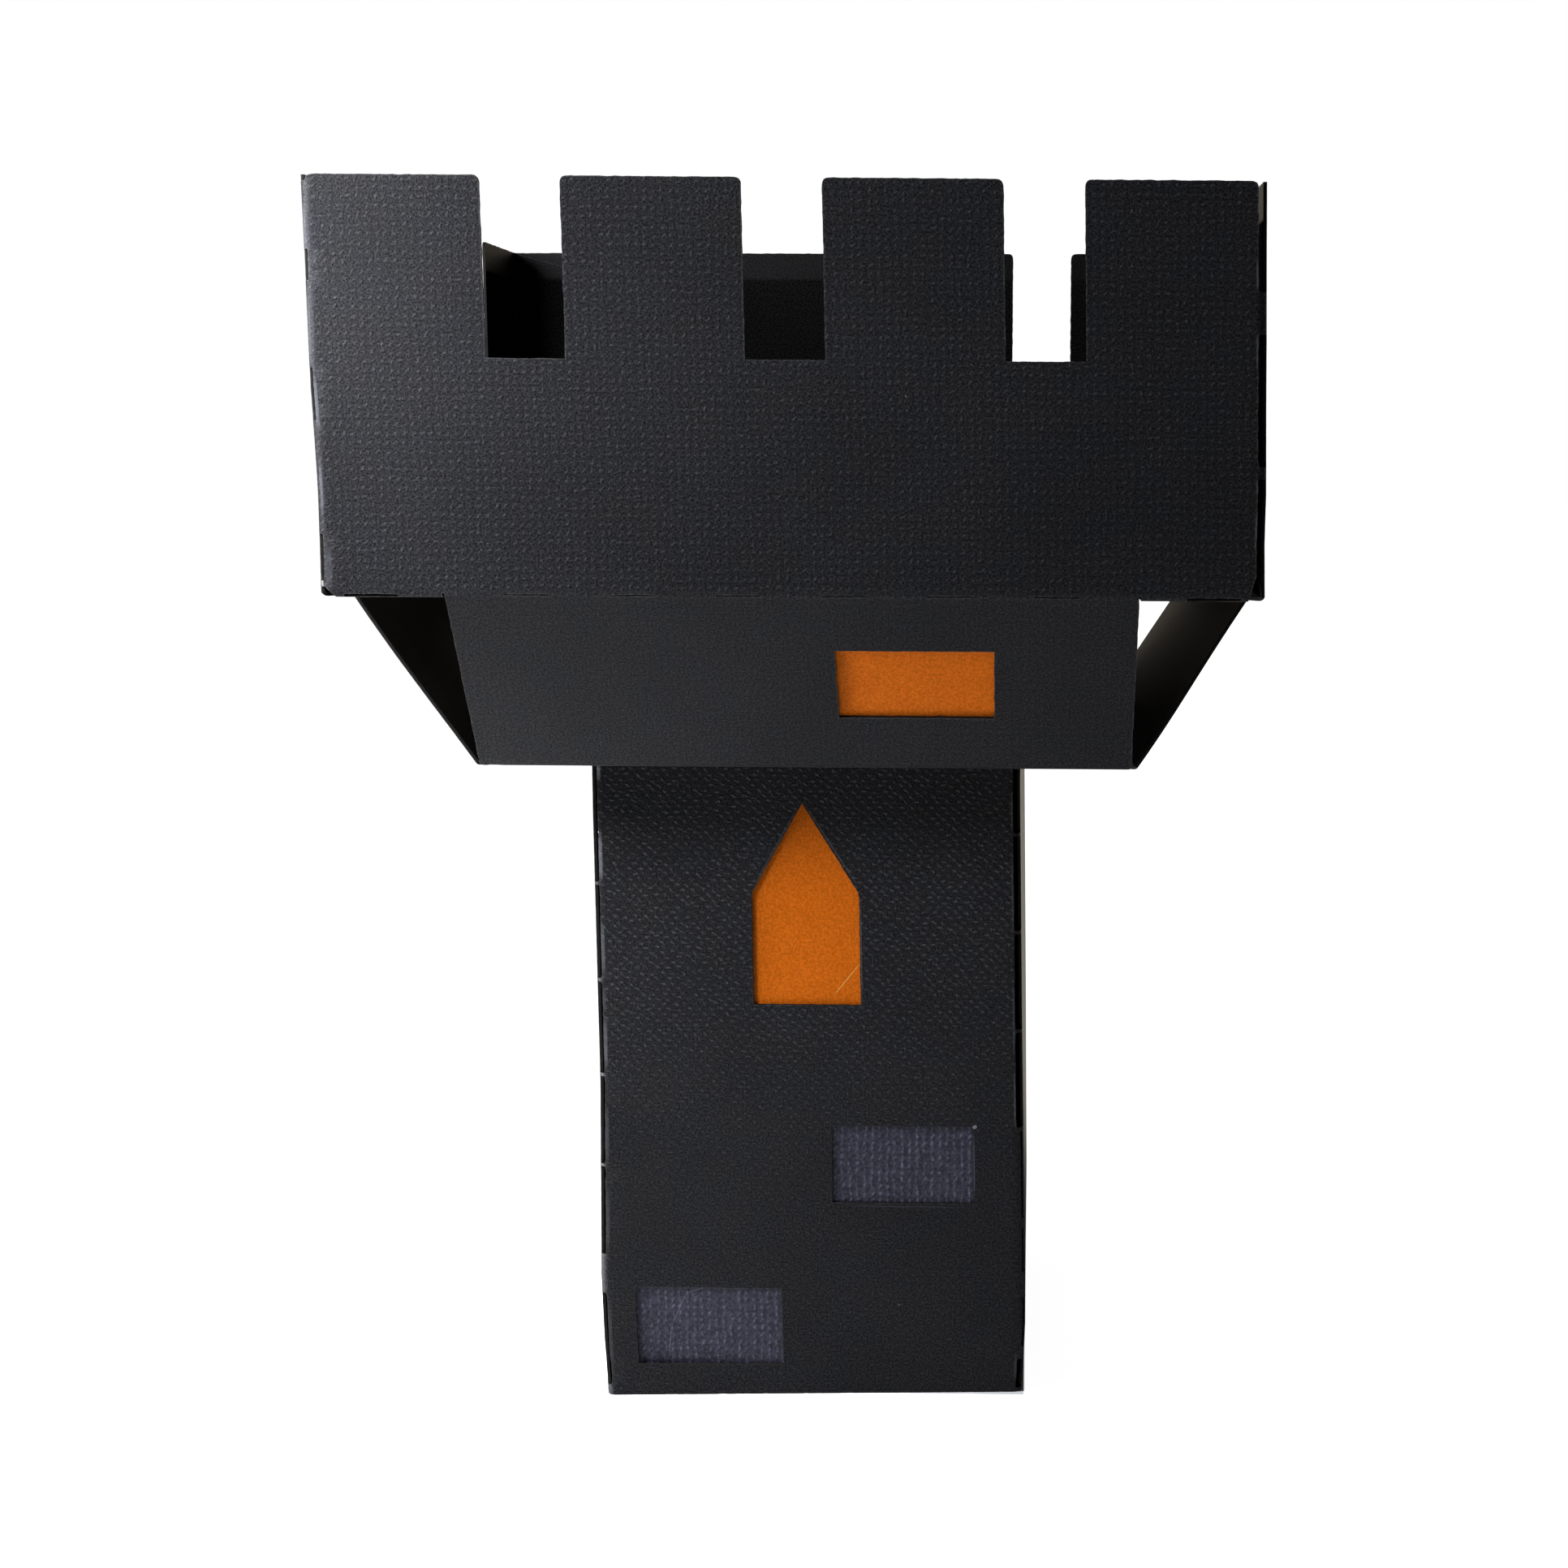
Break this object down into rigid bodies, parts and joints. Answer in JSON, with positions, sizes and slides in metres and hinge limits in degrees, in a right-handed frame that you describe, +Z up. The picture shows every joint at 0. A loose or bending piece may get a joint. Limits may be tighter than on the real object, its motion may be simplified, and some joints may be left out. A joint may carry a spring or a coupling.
{
  "type": "cardboard castle",
  "caption": "Papercraft castle tower of black embossed card with a crenellated parapet on sloping corbels, and windows backed with orange and slate card.",
  "frame": {"origin": "centre of the tower's footprint, on the surface that it stands on", "axes": "+Z up the tower, -Y out of the front with the windows, +X to the right of the front"},
  "size_m": [0.0776, 0.0776, 0.1099],
  "materials": {
    "black_card": "matt black cardstock with a canvas emboss",
    "orange_card": "smooth matt orange card",
    "slate_card": "matt slate-purple card with fine upright ribs"
  },
  "bodies": {
    "root": {"tower_body": "black_card", "parapet": "black_card", "parapet_floor": "black_card", "arch_window_backing": "orange_card", "corbel_window_backing": "orange_card", "upper_brick_backing": "slate_card", "lower_brick_backing": "slate_card"}
  },
  "joints": []
}
